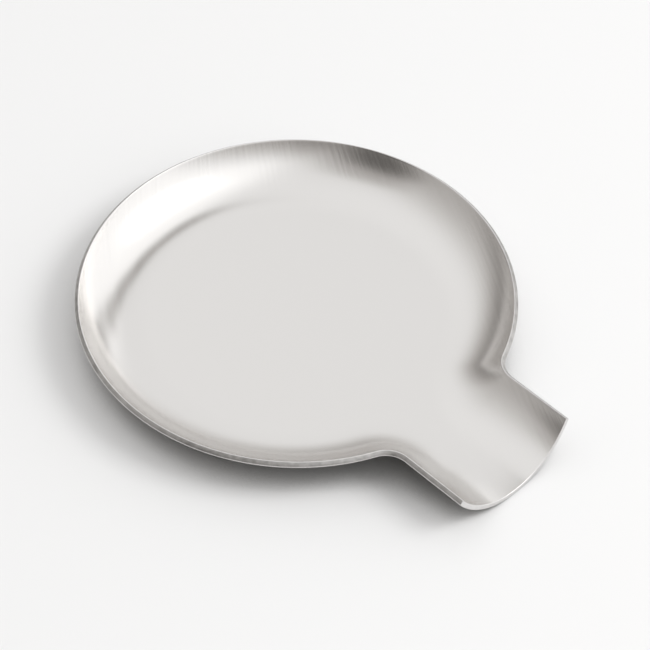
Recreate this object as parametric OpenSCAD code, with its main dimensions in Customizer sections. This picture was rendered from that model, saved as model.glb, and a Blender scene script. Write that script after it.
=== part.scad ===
// Spoon rest pressed from one sheet of stainless steel.
// A round dish with a flat floor has a flared wall, and at two necks that wall turns out
// along a tab, where it makes an open trough for the spoon's handle. One wall section runs
// all the way round, so the rim is level. The origin is the dish centre on the underside,
// +X runs along the tab and +Z is up. Lengths are in millimetres.

/* [Sheet] */
// Thickness of the sheet
sheet_t = 1.5; // [1:0.1:2.5]
// Chamfer on both corners of the cut edge, left by deburring
edge_c = 0.35; // [0.1:0.05:0.45]

/* [Rim] */
// Height of the rim's crest above the table
height = 12; // [9:0.5:16]

/* [Dish] */
// Diameter of the dish across the crest of its rim
dish_d = 118; // [95:1:160]

/* [Tab] */
// Width of the tab between the crests of its two rims
tab_w = 39.5; // [30:0.5:50]
// Width of the level strip along the middle of the tab
tab_floor_w = 2; // [0.5:0.5:8]
// Length of the tab from the end of the necks to the middle of its tip
tab_len = 21.2; // [10:0.1:60]
// Plan radius of the tip's curved edge
tip_r = 118; // [60:1:300]
// Plan radius of the rim's outer line at each neck
neck_r = 6.5; // [3:0.5:15]

/* [Hidden] */
$fn = 180;

// Derived lengths are kept to a whole micron, so that surfaces that meet agree exactly.
function micron(x) = round(1000 * x) / 1000;

// The wall is one arc that leaves the floor level. The crest is the chamfer's inner edge,
// which lies this far up and out when the arc is taken at the crest's own radius.
crest_rise = height - sheet_t + edge_c;
crest_run = (tab_w - tab_floor_w) / 2;

// The angle that the arc turns through, and its radius on each side of the sheet
wall_turn = 2 * atan(crest_rise / crest_run);
inside_r = micron(crest_run / sin(wall_turn) - edge_c);
outside_r = inside_r + sheet_t;

// From the floor's edge out to the rim's outermost line, the chamfer's outer edge
rim_run = micron(outside_r * sin(wall_turn) - edge_c * cos(wall_turn));

// A point about the wall's centre, at a radius along the cut end's line and some way past it
function at_turn(side, radius, past) = [
    side * (radius * sin(wall_turn) + past * cos(wall_turn)),
    -radius * cos(wall_turn) + past * sin(wall_turn)
];

// The dish's level floor, and the arc in plan round each neck where the level floor ends
dish_floor_r = dish_d / 2 - crest_run;
neck_floor_r = neck_r + rim_run;

// Centre of each neck's arcs, which are tangent to the dish's circles and the tab's sides
neck_y = tab_floor_w / 2 + neck_floor_r;
neck_x = sqrt(pow(dish_floor_r + neck_floor_r, 2) - pow(neck_y, 2));

tip_x = neck_x + tab_len;

// Section of the wall, from the floor's edge at x = 0 up and out to the rim, which is on
// the right (side 1) or on the left (side -1). The cut end has both corners broken.
module wall_section(side) {
    reach = 2 * outside_r;
    inner = inside_r + edge_c;
    outer = outside_r - edge_c;
    translate([0, sheet_t + inside_r])
        intersection() {
            difference() {
                circle(outside_r);
                circle(inside_r);
            }
            polygon([
                [0, 0],
                [0, -reach],
                at_turn(side, outer + reach, -reach),
                at_turn(side, outer, 0),
                at_turn(side, inner, 0),
                at_turn(side, inner - 2 * edge_c, -2 * edge_c)
            ]);
        }
}

// Moves to a neck's centre. The second step carries the digits below a micron.
module at_neck(side) {
    translate([micron(neck_x), side * neck_y, 0])
        translate([neck_x - micron(neck_x), 0, 0])
            children();
}

// Plan of the throat, from the dish's centre to the line where the tab starts
module throat_plan() {
    polygon([[0, 0], [neck_x, -neck_y], [neck_x, neck_y]]);
}

// The space over and under a plan
module column() {
    translate([0, 0, -height]) linear_extrude(3 * height) children();
}

// The dish, open where the throat leaves it and in the tab's way
module dish() {
    difference() {
        rotate_extrude() {
            square([dish_floor_r, sheet_t]);
            translate([dish_floor_r, 0]) wall_section(1);
        }
        column() throat_plan();
        column() translate([neck_x, -neck_y]) square([dish_d, 2 * neck_y]);
    }
}

// One neck: the wall turns about a centre outside the tray, with its rim on the inner side
module neck(side) {
    intersection() {
        at_neck(side)
            rotate_extrude()
                translate([neck_floor_r, 0]) wall_section(-1);
        column() throat_plan();
    }
}

// Level floor between the dish, the two necks and the tab
module throat_floor() {
    linear_extrude(sheet_t)
        difference() {
            throat_plan();
            for (side = [-1, 1])
                at_neck(side) circle(neck_floor_r);
        }
}

// The open trough, which runs a little past the tip and is trimmed back to an arc in plan
module tab() {
    intersection() {
        translate([neck_x, 0, 0])
            rotate([90, 0, 90])
                linear_extrude(tab_len + sheet_t) {
                    translate([-tab_floor_w / 2, 0]) square([tab_floor_w, sheet_t]);
                    for (side = [-1, 1])
                        translate([side * tab_floor_w / 2, 0]) wall_section(side);
                }
        column() translate([tip_x - tip_r, 0]) circle(tip_r);
    }
}

module pressed_tray() {
    color("silver") {
        dish();
        throat_floor();
        for (side = [-1, 1])
            neck(side);
        tab();
    }
}

pressed_tray();
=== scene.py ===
import math
import bmesh
import bpy
from mathutils import Euler, Matrix, Vector


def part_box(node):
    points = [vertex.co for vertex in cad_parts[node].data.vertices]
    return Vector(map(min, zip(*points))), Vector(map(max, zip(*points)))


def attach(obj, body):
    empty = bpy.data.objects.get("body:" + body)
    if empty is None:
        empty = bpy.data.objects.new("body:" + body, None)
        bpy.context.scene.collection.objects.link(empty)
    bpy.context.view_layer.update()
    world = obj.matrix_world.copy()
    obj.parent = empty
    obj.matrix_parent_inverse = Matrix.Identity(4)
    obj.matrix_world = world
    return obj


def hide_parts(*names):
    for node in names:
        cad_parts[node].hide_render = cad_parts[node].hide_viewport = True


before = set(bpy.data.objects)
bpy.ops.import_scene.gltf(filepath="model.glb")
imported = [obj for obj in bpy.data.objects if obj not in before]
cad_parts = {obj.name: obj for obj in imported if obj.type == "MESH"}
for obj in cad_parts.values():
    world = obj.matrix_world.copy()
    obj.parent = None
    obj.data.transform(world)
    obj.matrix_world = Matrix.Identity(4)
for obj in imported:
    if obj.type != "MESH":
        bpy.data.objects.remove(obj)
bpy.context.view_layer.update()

# Pressed tray: the whole spoon rest, one blank of brushed stainless sheet, 1.5 mm thick, that is
# cut to its outline, pressed into a flat-floored dish with an open tab and deburred round the cut
# edge. One wall section runs round the dish, through two necks and along the tab.
MM = 0.001
SHEET = 1.5 * MM
CHAMFER = 0.35 * MM         # corner break that the pressed solid has
EDGE_ROUND = 0.2 * MM       # radius that deburring leaves on both corners of the cut edge
EDGE_LEAN = math.radians(12)    # by which the rim's cut face leans from square
TAB_WIDTH = 39.5 * MM       # between the crests of the tab's two rims
TAB_LEVEL = 2.0 * MM        # level strip along the middle of the tab
TIP_RADIUS = 118.0 * MM     # plan radius of the tip's edge
NECK_RIM_RADIUS = 6.5 * MM  # plan radius of the rim's outer line at each neck
FLOOR_LAP = 0.6 * MM        # strip of level floor that belongs to the wall's mesh
BRUSHING_TURN = math.radians(-30)   # plan angle from the tab to the brushed lines
DISH_POINTS = 216           # mesh points round the dish
NECK_POINTS = 36            # round each neck
WALL_POINTS = 34            # up the wall
WELD = 0.002 * MM           # points closer together than this are made one
TIP_MARGIN = 1.0 * MM       # past the necks' centres, where only the tip has points

tray_low, tray_high = (Vector(corner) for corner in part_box("pressed_tray"))
crest_rise = tray_high.z - SHEET + CHAMFER
crest_run = (TAB_WIDTH - TAB_LEVEL) / 2
pressed_turn = 2 * math.atan(crest_rise / crest_run)
inside_radius = crest_run / math.sin(pressed_turn) - CHAMFER

# The turn at which the rounded crest of the rim just reaches the tray's height
round_radius = math.hypot(inside_radius + EDGE_ROUND, EDGE_ROUND)
round_lead = math.atan2(EDGE_ROUND, inside_radius + EDGE_ROUND)
crest_drop = SHEET + inside_radius + EDGE_ROUND - tray_high.z
wall_turn = round_lead + math.acos(crest_drop / round_radius)
edge_slide = SHEET * math.tan(EDGE_LEAN)
rim_run = (inside_radius + SHEET) * math.sin(wall_turn) - edge_slide * math.cos(wall_turn)

dish_floor_radius = -tray_low.x - rim_run
neck_floor_radius = NECK_RIM_RADIUS + rim_run
neck_y = TAB_LEVEL / 2 + neck_floor_radius
neck_x = math.sqrt((dish_floor_radius + neck_floor_radius) ** 2 - neck_y ** 2)

tray_sizes = {
    "Sheet": SHEET,
    "Floor lap": FLOOR_LAP,
    "Inside radius": inside_radius,
    "Wall turn": wall_turn,
    "Dish floor radius": dish_floor_radius,
    "Neck floor radius": neck_floor_radius,
    "Neck centre X": neck_x,
    "Neck centre Y": neck_y,
    "Throat angle": math.atan2(neck_y, neck_x),
    "Tab half level": TAB_LEVEL / 2,
    "Tip reach": tray_high.x,
    "Tip radius": TIP_RADIUS,
    "Brushing back": -BRUSHING_TURN,
}


def add(tree, kind, inputs=None, **settings):
    """Adds a node with its settings, and gives each input a value, a link or a list of links."""
    node = tree.nodes.new(kind)
    for name, value in settings.items():
        setattr(node, name, value)
    for name, value in (inputs or {}).items():
        for item in value if isinstance(value, list) else [value]:
            if isinstance(item, bpy.types.NodeSocket):
                tree.links.new(item, node.inputs[name])
            else:
                node.inputs[name].default_value = item
    return node


form = bpy.data.node_groups.new("pressed_tray_form", "GeometryNodeTree")
tray_sockets = {
    name: form.interface.new_socket(name, in_out="INPUT", socket_type="NodeSocketFloat")
    for name in tray_sizes
}
form.interface.new_socket("Geometry", in_out="OUTPUT", socket_type="NodeSocketGeometry")
size = add(form, "NodeGroupInput").outputs

# The line where the level floor ends, from the tip along one side and back along the other
dish_sweep = add(form, "ShaderNodeMath", {0: size["Throat angle"], 1: -2.0, 2: math.tau},
                 operation="MULTIPLY_ADD")
dish_line = add(form, "GeometryNodeCurveArc", {
    "Resolution": DISH_POINTS, "Radius": size["Dish floor radius"],
    "Start Angle": size["Throat angle"], "Sweep Angle": dish_sweep.outputs[0],
}, mode="RADIUS")
neck_sweep = add(form, "ShaderNodeMath", {0: math.pi / 2, 1: size["Throat angle"]},
                 operation="SUBTRACT")
left_start = add(form, "ShaderNodeMath", {0: math.pi, 1: size["Throat angle"]}, operation="ADD")
floor_lines = [dish_line.outputs["Curve"]]
for side, start in ((1, left_start.outputs[0]), (-1, math.pi / 2)):
    neck_line = add(form, "GeometryNodeCurveArc", {
        "Resolution": NECK_POINTS, "Radius": size["Neck floor radius"],
        "Start Angle": start, "Sweep Angle": neck_sweep.outputs[0],
    }, mode="RADIUS")
    across = add(form, "ShaderNodeMath", {0: size["Neck centre Y"], 1: side}, operation="MULTIPLY")
    centre = add(form, "ShaderNodeCombineXYZ", {"X": size["Neck centre X"], "Y": across.outputs[0]})
    placed = add(form, "GeometryNodeTransform", {
        "Geometry": neck_line.outputs["Curve"], "Translation": centre.outputs[0],
    })
    half = add(form, "ShaderNodeMath", {0: size["Tab half level"], 1: side}, operation="MULTIPLY")
    ends = [
        add(form, "ShaderNodeCombineXYZ", {"X": size[reach], "Y": half.outputs[0]}).outputs[0]
        for reach in ("Neck centre X", "Tip reach")
    ]
    tab_line = add(form, "GeometryNodeCurvePrimitiveLine", {"Start": ends[0], "End": ends[1]})
    floor_lines += [placed.outputs["Geometry"], tab_line.outputs["Curve"]]

# The wall's inner skin in section, with X outwards and Y down: a strip of floor and one arc
skin_centre = add(form, "ShaderNodeMath", {0: size["Sheet"], 1: size["Inside radius"]},
                  operation="ADD")
centre_up = add(form, "ShaderNodeMath", {0: skin_centre.outputs[0], 1: -1.0}, operation="MULTIPLY")
skin_start = add(form, "ShaderNodeMath", {0: math.pi / 2, 1: size["Wall turn"]},
                 operation="SUBTRACT")
skin_arc = add(form, "GeometryNodeCurveArc", {
    "Resolution": WALL_POINTS, "Radius": size["Inside radius"],
    "Start Angle": skin_start.outputs[0], "Sweep Angle": size["Wall turn"],
}, mode="RADIUS")
arc_place = add(form, "ShaderNodeCombineXYZ", {"Y": centre_up.outputs[0]})
arc_placed = add(form, "GeometryNodeTransform", {
    "Geometry": skin_arc.outputs["Curve"], "Translation": arc_place.outputs[0],
})
sheet_up = add(form, "ShaderNodeMath", {0: size["Sheet"], 1: -1.0}, operation="MULTIPLY")
lap_in = add(form, "ShaderNodeMath", {0: size["Floor lap"], 1: -1.0}, operation="MULTIPLY")
lap_start = add(form, "ShaderNodeCombineXYZ", {"X": lap_in.outputs[0], "Y": sheet_up.outputs[0]})
lap_end = add(form, "ShaderNodeCombineXYZ", {"Y": sheet_up.outputs[0]})
lap_line = add(form, "GeometryNodeCurvePrimitiveLine", {
    "Start": lap_start.outputs[0], "End": lap_end.outputs[0],
})
section_lines = [arc_placed.outputs["Geometry"], lap_line.outputs["Curve"]]

# Each set of lines becomes one spline
splines = []
for lines in (floor_lines, section_lines):
    joined = add(form, "GeometryNodeJoinGeometry", {"Geometry": lines})
    edges = add(form, "GeometryNodeCurveToMesh", {"Curve": joined.outputs[0]})
    welded = add(form, "GeometryNodeMergeByDistance", {
        "Geometry": edges.outputs[0], "Distance": WELD,
    })
    splines.append(add(form, "GeometryNodeMeshToCurve", {"Mesh": welded.outputs[0]}).outputs[0])
turned = add(form, "GeometryNodeReverseCurve", {"Curve": splines[0]})
upright = add(form, "GeometryNodeSetCurveNormal", {"Curve": turned.outputs[0]}, mode="Z_UP")

# Each point of the wall remembers its foot on that line and how far up the sheet it lies
place = add(form, "GeometryNodeInputPosition")
axes = add(form, "ShaderNodeSeparateXYZ", {0: place.outputs[0]})
outwards = add(form, "GeometryNodeInputNormal")
foot = add(form, "GeometryNodeCaptureAttribute", {"Geometry": upright.outputs[0]})
for name, source in (("Foot", place.outputs[0]), ("Outwards", outwards.outputs["Normal"])):
    foot.capture_items.new("VECTOR", name)
    form.links.new(source, foot.inputs[name])
sine = add(form, "ShaderNodeMath", {0: axes.outputs["X"], 1: size["Inside radius"]},
           operation="DIVIDE")
turn = add(form, "ShaderNodeMath", {0: sine.outputs[0]}, operation="ARCSINE")
rise = add(form, "ShaderNodeMath", {0: turn.outputs[0], 1: size["Inside radius"]},
           operation="MULTIPLY")
climb = add(form, "GeometryNodeCaptureAttribute", {"Geometry": splines[1]})
climb.capture_items.new("FLOAT", "Climb")
form.links.new(rise.outputs[0], climb.inputs["Climb"])
wall = add(form, "GeometryNodeCurveToMesh", {
    "Curve": foot.outputs["Geometry"], "Profile Curve": climb.outputs["Geometry"],
})

# The level floor fills the same line drawn in by the lap
drawn_in = add(form, "ShaderNodeVectorMath", {
    0: outwards.outputs["Normal"], "Scale": lap_in.outputs[0],
}, operation="SCALE")
inset = add(form, "GeometryNodeSetPosition", {
    "Geometry": upright.outputs[0], "Offset": drawn_in.outputs[0],
})
closed = add(form, "GeometryNodeSetSplineCyclic", {"Geometry": inset.outputs[0], "Cyclic": True})
flat = add(form, "GeometryNodeFillCurve", {"Curve": closed.outputs[0]}, mode="NGONS")
floor_place = add(form, "ShaderNodeCombineXYZ", {"Z": size["Sheet"]})
floor = add(form, "GeometryNodeTransform", {
    "Geometry": flat.outputs[0], "Translation": floor_place.outputs[0],
})

# The brushing's own map: metres on the flat blank, with U along the brushed lines
unrolled = add(form, "ShaderNodeVectorMath", {
    0: foot.outputs["Outwards"], 1: climb.outputs["Climb"], 2: foot.outputs["Foot"],
}, operation="MULTIPLY_ADD")
brushed = []
for surface, flat_place in ((wall, unrolled), (floor, place)):
    lined_up = add(form, "ShaderNodeVectorRotate", {
        "Vector": flat_place.outputs[0], "Angle": size["Brushing back"],
    }, rotation_type="Z_AXIS")
    mapped = add(form, "GeometryNodeStoreNamedAttribute", {
        "Geometry": surface.outputs[0], "Name": "brushing",
    }, data_type="FLOAT2", domain="CORNER")
    form.links.new(lined_up.outputs[0], mapped.inputs["Value"])
    brushed.append(mapped.outputs[0])
skin = add(form, "GeometryNodeJoinGeometry", {"Geometry": brushed})
skin_welded = add(form, "GeometryNodeMergeByDistance", {
    "Geometry": skin.outputs[0], "Distance": WELD,
})

# The tip's edge is drawn back to its arc in plan
past_necks = add(form, "ShaderNodeMath", {0: size["Neck centre X"], 1: TIP_MARGIN},
                 operation="ADD")
at_tip = add(form, "ShaderNodeMath", {0: axes.outputs["X"], 1: past_necks.outputs[0]},
             operation="GREATER_THAN")
radius_square = add(form, "ShaderNodeMath", {0: size["Tip radius"], 1: size["Tip radius"]},
                    operation="MULTIPLY")
across_square = add(form, "ShaderNodeMath", {0: axes.outputs["Y"], 1: axes.outputs["Y"]},
                    operation="MULTIPLY")
along_square = add(form, "ShaderNodeMath", {
    0: radius_square.outputs[0], 1: across_square.outputs[0],
}, operation="SUBTRACT")
along = add(form, "ShaderNodeMath", {0: along_square.outputs[0]}, operation="SQRT")
drawn_back = add(form, "ShaderNodeMath", {0: along.outputs[0], 1: size["Tip radius"]},
                 operation="SUBTRACT")
tip_move = add(form, "ShaderNodeCombineXYZ", {"X": drawn_back.outputs[0]})
tipped = add(form, "GeometryNodeSetPosition", {
    "Geometry": skin_welded.outputs[0], "Selection": at_tip.outputs[0],
    "Offset": tip_move.outputs[0],
})

smooth = add(form, "GeometryNodeSetShadeSmooth", {"Geometry": tipped.outputs[0]})
real = add(form, "GeometryNodeRealizeInstances", {"Geometry": smooth.outputs[0]})


def linear(hex_colour):
    """An sRGB hex colour as linear red, green, blue and full alpha."""
    parts = [int(hex_colour[i:i + 2], 16) / 255 for i in (0, 2, 4)]
    return (*(p / 12.92 if p <= 0.04045 else ((p + 0.055) / 1.055) ** 2.4 for p in parts), 1.0)


# Stainless steel sheet brushed with fine grit, in lines about 30 degrees across the tab: a pale
# neutral grey whose highlights spread across the lines, with faint streaks where the wall catches
# a change of light. The streaks grow from almost none on the floor to their full depth at the rim.
STREAK_SPACING = 1.0 * MM   # real grit lines are about 0.1 mm apart, too fine to show
STREAK_LENGTH = 45.0 * MM
STREAK_DEPTH = 0.038 * MM
STREAK_ON_FLOOR = 0.02      # share of that depth on the level floor
NOISE_LOW = 0.3             # nearly all of a noise pattern lies between these two
NOISE_HIGH = 0.7
NOISE_MIDDLE = 0.5
STEEL_SMOOTHEST = 0.205     # roughness between two streaks and on one
STEEL_ROUGHEST = 0.235
steel = bpy.data.materials.new("stainless_steel_brushed")
steel.use_nodes = True
steel_tree = steel.node_tree
shader = steel_tree.nodes["Principled BSDF"]
shader.inputs["Metallic"].default_value = 1.0
shader.inputs["Anisotropic"].default_value = 0.5
shader.inputs["Anisotropic Rotation"].default_value = 0.25   # highlights spread across the lines
plan = add(steel_tree, "ShaderNodeUVMap", uv_map="brushing")
stretched = add(steel_tree, "ShaderNodeMapping", {
    "Vector": plan.outputs["UV"], "Scale": (1 / STREAK_LENGTH, 1 / STREAK_SPACING, 1.0),
})
streaks = add(steel_tree, "ShaderNodeTexNoise", {
    "Vector": stretched.outputs[0], "Scale": 1.0, "Detail": 3.0, "Roughness": 0.6,
}, noise_dimensions="2D")
where = add(steel_tree, "ShaderNodeTexCoord")
height = add(steel_tree, "ShaderNodeSeparateXYZ", {0: where.outputs["Object"]})
shown = add(steel_tree, "ShaderNodeMapRange", {
    "Value": height.outputs["Z"], "From Min": SHEET, "From Max": tray_high.z,
    "To Min": NOISE_MIDDLE, "To Max": streaks.outputs["Fac"],
})
tint = add(steel_tree, "ShaderNodeValToRGB", {"Fac": shown.outputs[0]})
tint.color_ramp.elements[0].position = NOISE_LOW
tint.color_ramp.elements[0].color = linear("DEDCDA")
tint.color_ramp.elements[1].position = NOISE_HIGH
tint.color_ramp.elements[1].color = linear("E2E0DE")
dulled = add(steel_tree, "ShaderNodeMapRange", {
    "Value": streaks.outputs["Fac"], "From Min": NOISE_LOW, "From Max": NOISE_HIGH,
    "To Min": STEEL_SMOOTHEST, "To Max": STEEL_ROUGHEST,
})
drawn = add(steel_tree, "ShaderNodeMapRange", {
    "Value": height.outputs["Z"], "From Min": SHEET, "From Max": tray_high.z,
    "To Min": STREAK_ON_FLOOR, "To Max": 1.0,
})
grooves = add(steel_tree, "ShaderNodeBump", {
    "Height": streaks.outputs["Fac"], "Strength": drawn.outputs[0], "Distance": STREAK_DEPTH,
})
along_lines = add(steel_tree, "ShaderNodeTangent", direction_type="UV_MAP", uv_map="brushing")
for name, source in (("Base Color", tint.outputs["Color"]), ("Roughness", dulled.outputs[0]),
                     ("Normal", grooves.outputs[0]), ("Tangent", along_lines.outputs[0])):
    steel_tree.links.new(source, shader.inputs[name])

# The same steel where the blank was sheared: duller and greyer, with no brushing, and slightly
# mottled along the cut.
MOTTLE = 1.5 * MM
sheared = bpy.data.materials.new("stainless_steel_sheared")
# The corners of the cut, burnished by deburring: a thin bright line on each side of the cut face
# The same paler finish is also painted light on the whole of the tip's cut face, which faces the
# lit table
burnished_and_painted_light = bpy.data.materials.new("stainless_steel_burnished_and_painted_light")
for finish, dark, pale, smoothest, roughest in (
    (sheared, "A09E9C", "BCBAB8", 0.36, 0.46),
    (burnished_and_painted_light, "DAD8D7", "E2E0DF", 0.18, 0.24),
):
    finish.use_nodes = True
    finish_shader = finish.node_tree.nodes["Principled BSDF"]
    finish_shader.inputs["Metallic"].default_value = 1.0
    spot = add(finish.node_tree, "ShaderNodeTexCoord")
    mottle = add(finish.node_tree, "ShaderNodeTexNoise", {
        "Vector": spot.outputs["Object"], "Scale": 1 / MOTTLE, "Detail": 2.0,
    })
    shade = add(finish.node_tree, "ShaderNodeValToRGB", {"Fac": mottle.outputs["Fac"]})
    shade.color_ramp.elements[0].position = NOISE_LOW
    shade.color_ramp.elements[0].color = linear(dark)
    shade.color_ramp.elements[1].position = NOISE_HIGH
    shade.color_ramp.elements[1].color = linear(pale)
    dulling = add(finish.node_tree, "ShaderNodeMapRange", {
        "Value": mottle.outputs["Fac"], "From Min": NOISE_LOW, "From Max": NOISE_HIGH,
        "To Min": smoothest, "To Max": roughest,
    })
    finish.node_tree.links.new(shade.outputs["Color"], finish_shader.inputs["Base Color"])
    finish.node_tree.links.new(dulling.outputs[0], finish_shader.inputs["Roughness"])

TRAY_FINISHES = (steel, sheared, burnished_and_painted_light)
BRUSHED, SHEARED, BURNISHED_AND_PAINTED_LIGHT = range(len(TRAY_FINISHES))
clad = add(form, "GeometryNodeSetMaterial", {"Geometry": real.outputs[0], "Material": steel})
add(form, "NodeGroupOutput", {"Geometry": clad.outputs[0]})

blank = bpy.data.objects.new("tray_blank", bpy.data.meshes.new("tray_blank"))
bpy.context.scene.collection.objects.link(blank)
pressing = blank.modifiers.new("pressing", "NODES")
pressing.node_group = form
for name, value in tray_sizes.items():
    pressing[tray_sockets[name].identifier] = value
pressed = blank.evaluated_get(bpy.context.evaluated_depsgraph_get())
skin_mesh = bpy.data.meshes.new_from_object(pressed)
skin_mesh.materials.clear()
for finish in TRAY_FINISHES:
    skin_mesh.materials.append(finish)
skin_mesh.polygons.foreach_set("material_index", [BRUSHED] * len(skin_mesh.polygons))
bpy.data.objects.remove(blank)

# The skin gets the sheet's thickness below it, and the new faces round the edge the edge's finish
sheet = bpy.data.objects.new("tray_sheet", skin_mesh)
bpy.context.scene.collection.objects.link(sheet)
gauge = sheet.modifiers.new("gauge", "SOLIDIFY")
gauge.thickness = SHEET
gauge.offset = -1.0
gauge.use_even_offset = True
gauge.use_quality_normals = True
gauge.material_offset_rim = SHEARED - BRUSHED
thick = sheet.evaluated_get(bpy.context.evaluated_depsgraph_get())
tray = bpy.data.objects.new("tray", bpy.data.meshes.new_from_object(thick))
bpy.context.scene.collection.objects.link(tray)
bpy.data.objects.remove(sheet)

# The rim's cut face leans, because its outer corner slides down the back of the sheet. Both long
# corners of the cut edge are then rounded, and the tip's two end corners stay sharp. The tip's cut
# face, which faces the lit table, takes the paler burnished colour from corner to corner: painted
# light.
TIP_FACING = 0.9            # a cut face whose normal has more X than this is the tip's
CREASE = math.radians(40)   # edges that bend more than this stay sharp
ROUND_STEPS = 3
work = bmesh.new()
work.from_mesh(tray.data)
cut = [face for face in work.faces if face.material_index == SHEARED]
rim_cut = [face for face in cut if face.normal.x < TIP_FACING]
rim_points = {point for face in rim_cut for point in face.verts}
lower_points = {point for face in rim_cut for point in face.verts
                if point.co.z < face.calc_center_median().z}
slides = {}
for point in lower_points:
    joined_to = [line.other_vert(point) for line in point.link_edges]
    back_points = [other for other in joined_to if other not in rim_points]
    lowest = min(back_points, key=lambda other: other.co.z)
    slides[point] = (lowest.co - point.co).normalized() * edge_slide
for point, slide in slides.items():
    point.co += slide
arrises = [
    line for line in work.edges
    if {face.material_index for face in line.link_faces} == {BRUSHED, SHEARED}
]
bmesh.ops.bevel(
    work, geom=arrises, offset=EDGE_ROUND, offset_type="OFFSET", segments=ROUND_STEPS,
    profile=0.5, affect="EDGES", clamp_overlap=True, material=BURNISHED_AND_PAINTED_LIGHT, loop_slide=True,
)
for face in work.faces:
    face.smooth = True
    # Painted light: the tip's cut face gets the paler burnished colour because it faces the lit
    # table
    if face.material_index == SHEARED and face.normal.x > TIP_FACING:
        face.material_index = BURNISHED_AND_PAINTED_LIGHT
for line in work.edges:
    line.smooth = line.calc_face_angle(0) < CREASE
work.to_mesh(tray.data)
work.free()

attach(tray, "root")
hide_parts("pressed_tray")

# Table: a sheet of plain matt white paper that the tray stands on, large enough to fill the view.
# Its colour is darkened by painted shade where the tray crowds it and little of the room's light
# comes in: a painted contact shadow under the rim and the tip.
TABLE_SIDE = 4.0            # metres
PAINTED_SHADE_REACH = 30 * MM
PAINTED_SHADE_DARKEST = 0.18              # open share of the surroundings at which the paper is darkest
PAINTED_SHADE_NONE = 0.57                # and at which it is palest
half_side = TABLE_SIDE / 2
table_mesh = bpy.data.meshes.new("table")
table_mesh.from_pydata(
    [(-half_side, -half_side, 0), (half_side, -half_side, 0),
     (half_side, half_side, 0), (-half_side, half_side, 0)],
    [], [(0, 1, 2, 3)],
)
table = bpy.data.objects.new("table", table_mesh)
bpy.context.scene.collection.objects.link(table)
paper = bpy.data.materials.new("white_paper_sweep")
paper.use_nodes = True
paper_shader = paper.node_tree.nodes["Principled BSDF"]
# Painted shade: ambient occlusion darkens the paper's own colour under and beside the tray
painted_shade_occlusion = add(paper.node_tree, "ShaderNodeAmbientOcclusion", {
    "Distance": PAINTED_SHADE_REACH,
}, samples=8)
paper_and_painted_shade = add(paper.node_tree, "ShaderNodeValToRGB", {"Fac": painted_shade_occlusion.outputs["AO"]})
paper_and_painted_shade.color_ramp.interpolation = "EASE"
paper_and_painted_shade.color_ramp.elements[0].position = PAINTED_SHADE_DARKEST
paper_and_painted_shade.color_ramp.elements[0].color = linear("8E8E8E")
paper_and_painted_shade.color_ramp.elements[1].position = PAINTED_SHADE_NONE
paper_and_painted_shade.color_ramp.elements[1].color = linear("E9E9E9")
paper.node_tree.links.new(paper_and_painted_shade.outputs["Color"], paper_shader.inputs["Base Color"])
paper_shader.inputs["Roughness"].default_value = 0.9
table.data.materials.append(paper)

# Camera: a long lens that looks down on the tray from the photograph's side, with the tab towards
# the front right. Its angles and its distance are fitted to the outline of the rim and the tab.
CAMERA_AZIMUTH = math.radians(44.32)
CAMERA_ELEVATION = math.radians(48.13)
CAMERA_ROLL = math.radians(1.42)
RIM_FROM_LENS = Vector((-7.62, 8.86, -729.05))  # mm along the camera's own axes
camera = bpy.data.objects.new("camera", bpy.data.cameras.new("camera"))
bpy.context.scene.collection.objects.link(camera)
camera.data.lens = 150.0
camera.data.sensor_width = 36.0
camera.data.clip_start = 0.05
camera_turn = (Euler((math.pi / 2 - CAMERA_ELEVATION, 0, CAMERA_AZIMUTH)).to_matrix()
               @ Matrix.Rotation(CAMERA_ROLL, 3, "Z"))
rim_centre = Vector((0, 0, tray_high.z))
camera.matrix_world = (
    Matrix.Translation(rim_centre - camera_turn @ RIM_FROM_LENS * MM)
    @ camera_turn.to_4x4()
)
bpy.context.scene.camera = camera

# Studio light: an even ceiling over a room that darkens low down, beside and behind the camera, and
# one large softbox to the right. The softbox is two lamps in the same place: the steel mirrors the
# weaker of them, and the other lights the table alone.
CEILING = 0.98
ROOM = {  # azimuth, elevation, inner and outer angle in degrees, share by which the light changes
    "beside the camera": (230, 25, 5, 23, -0.80),
    "over the camera": (233, 46, 4, 23, -0.43),
    "behind the camera": (278, -8, 15, 65, -0.64),
    "left wall": (200, -30, 30, 105, -0.48),
    "far left corner": (125, -33, 15, 73, -0.84),
    "pale patch of the ceiling": (140, 60, 10, 35, 0.04),
    "low gap at the back": (55, 5, 2, 8, -0.85),
    "pale right wall": (-12, 0, 70, 80, 0.34),
}
SEAM = (  # azimuth, elevation and change of a dark seam at the back right, from foot to top
    (51, 15, -0.40),
    (51, 27, -0.65),
    (50, 39, -0.75),
    (51, 51, -0.75),
    (54, 63, -0.70),
)
SEAM_REACH = 8  # outer angle of each of its parts
DIM = 0.2       # level of the room's light at which it is warmest
for azimuth, elevation, change in SEAM:
    ROOM[f"seam at {elevation}"] = (azimuth, elevation, 0, SEAM_REACH, change)


def towards(azimuth, elevation):
    """Unit vector in the tray's frame, azimuth counted from the camera's right towards the back."""
    turn = math.radians(azimuth) + CAMERA_AZIMUTH
    rise = math.radians(elevation)
    level_part = math.cos(rise)
    return Vector((math.cos(turn) * level_part, math.sin(turn) * level_part, math.sin(rise)))


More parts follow.
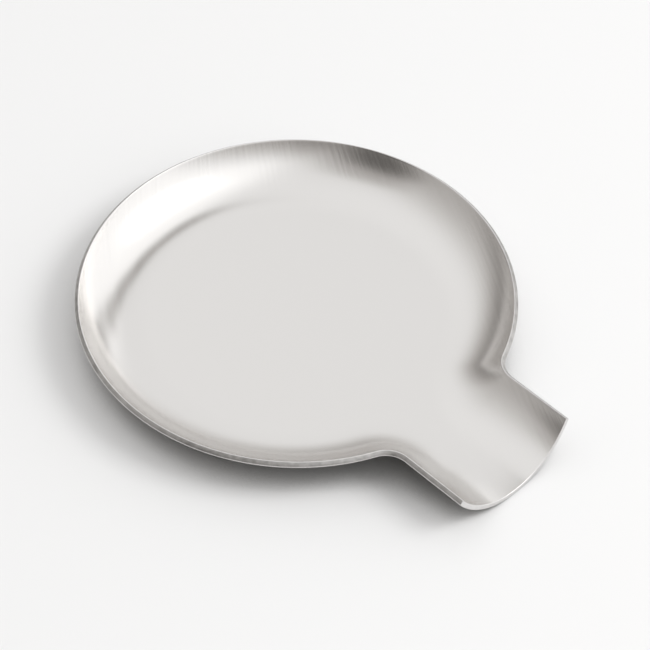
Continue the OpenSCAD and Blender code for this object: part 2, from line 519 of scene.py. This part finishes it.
world = bpy.data.worlds.new("studio")
bpy.context.scene.world = world
world.use_nodes = True
room = world.node_tree
ray = add(room, "ShaderNodeTexCoord")
level = CEILING
for name, (azimuth, elevation, inner, outer, change) in ROOM.items():
    nearness = add(room, "ShaderNodeVectorMath", {
        0: ray.outputs["Generated"], 1: towards(azimuth, elevation),
    }, operation="DOT_PRODUCT")
    dip = add(room, "ShaderNodeMapRange", {
        "Value": nearness.outputs["Value"],
        "From Min": math.cos(math.radians(outer)), "From Max": math.cos(math.radians(inner)),
        "To Min": 1.0, "To Max": 1.0 + change,
    }, interpolation_type="SMOOTHSTEP", label=name)
    level = add(room, "ShaderNodeMath", {0: level, 1: dip.outputs[0]},
                operation="MULTIPLY").outputs[0]
warmth = add(room, "ShaderNodeValToRGB", {"Fac": level})
warmth.color_ramp.elements[0].position = DIM
warmth.color_ramp.elements[0].color = linear("FFF9F3")
warmth.color_ramp.elements[1].position = CEILING
warmth.color_ramp.elements[1].color = linear("FFFFFF")
background = room.nodes["Background"]
room.links.new(warmth.outputs["Color"], background.inputs["Color"])
room.links.new(level, background.inputs["Strength"])

SOFTBOX_WIDTH = 0.55        # metres, as are the next two
SOFTBOX_HEIGHT = 0.45
SOFTBOX_DISTANCE = 1.2
SOFTBOX_LEAN = math.radians(-30)
SOFTBOX_AZIMUTH = -3
SOFTBOX_ELEVATION = 45
SOFTBOX_RADIANCE = 2.0
SPILL_RADIANCE = 4.4
softbox_from = towards(SOFTBOX_AZIMUTH, SOFTBOX_ELEVATION)
for name, radiance, mirrored in (
    ("softbox", SOFTBOX_RADIANCE, True),
    ("softbox_spill", SPILL_RADIANCE, False),
):
    softbox = bpy.data.objects.new(name, bpy.data.lights.new(name, "AREA"))
    bpy.context.scene.collection.objects.link(softbox)
    softbox.data.shape = "RECTANGLE"
    softbox.data.size, softbox.data.size_y = SOFTBOX_WIDTH, SOFTBOX_HEIGHT
    softbox.data.energy = radiance * math.pi * SOFTBOX_WIDTH * SOFTBOX_HEIGHT
    softbox.visible_glossy = mirrored
    softbox.matrix_world = (
        Matrix.Translation(softbox_from * SOFTBOX_DISTANCE)
        @ softbox_from.to_track_quat("Z", "Y").to_matrix().to_4x4()
        @ Matrix.Rotation(SOFTBOX_LEAN, 4, "Z")
    )

bpy.context.scene.view_settings.view_transform = "Standard"
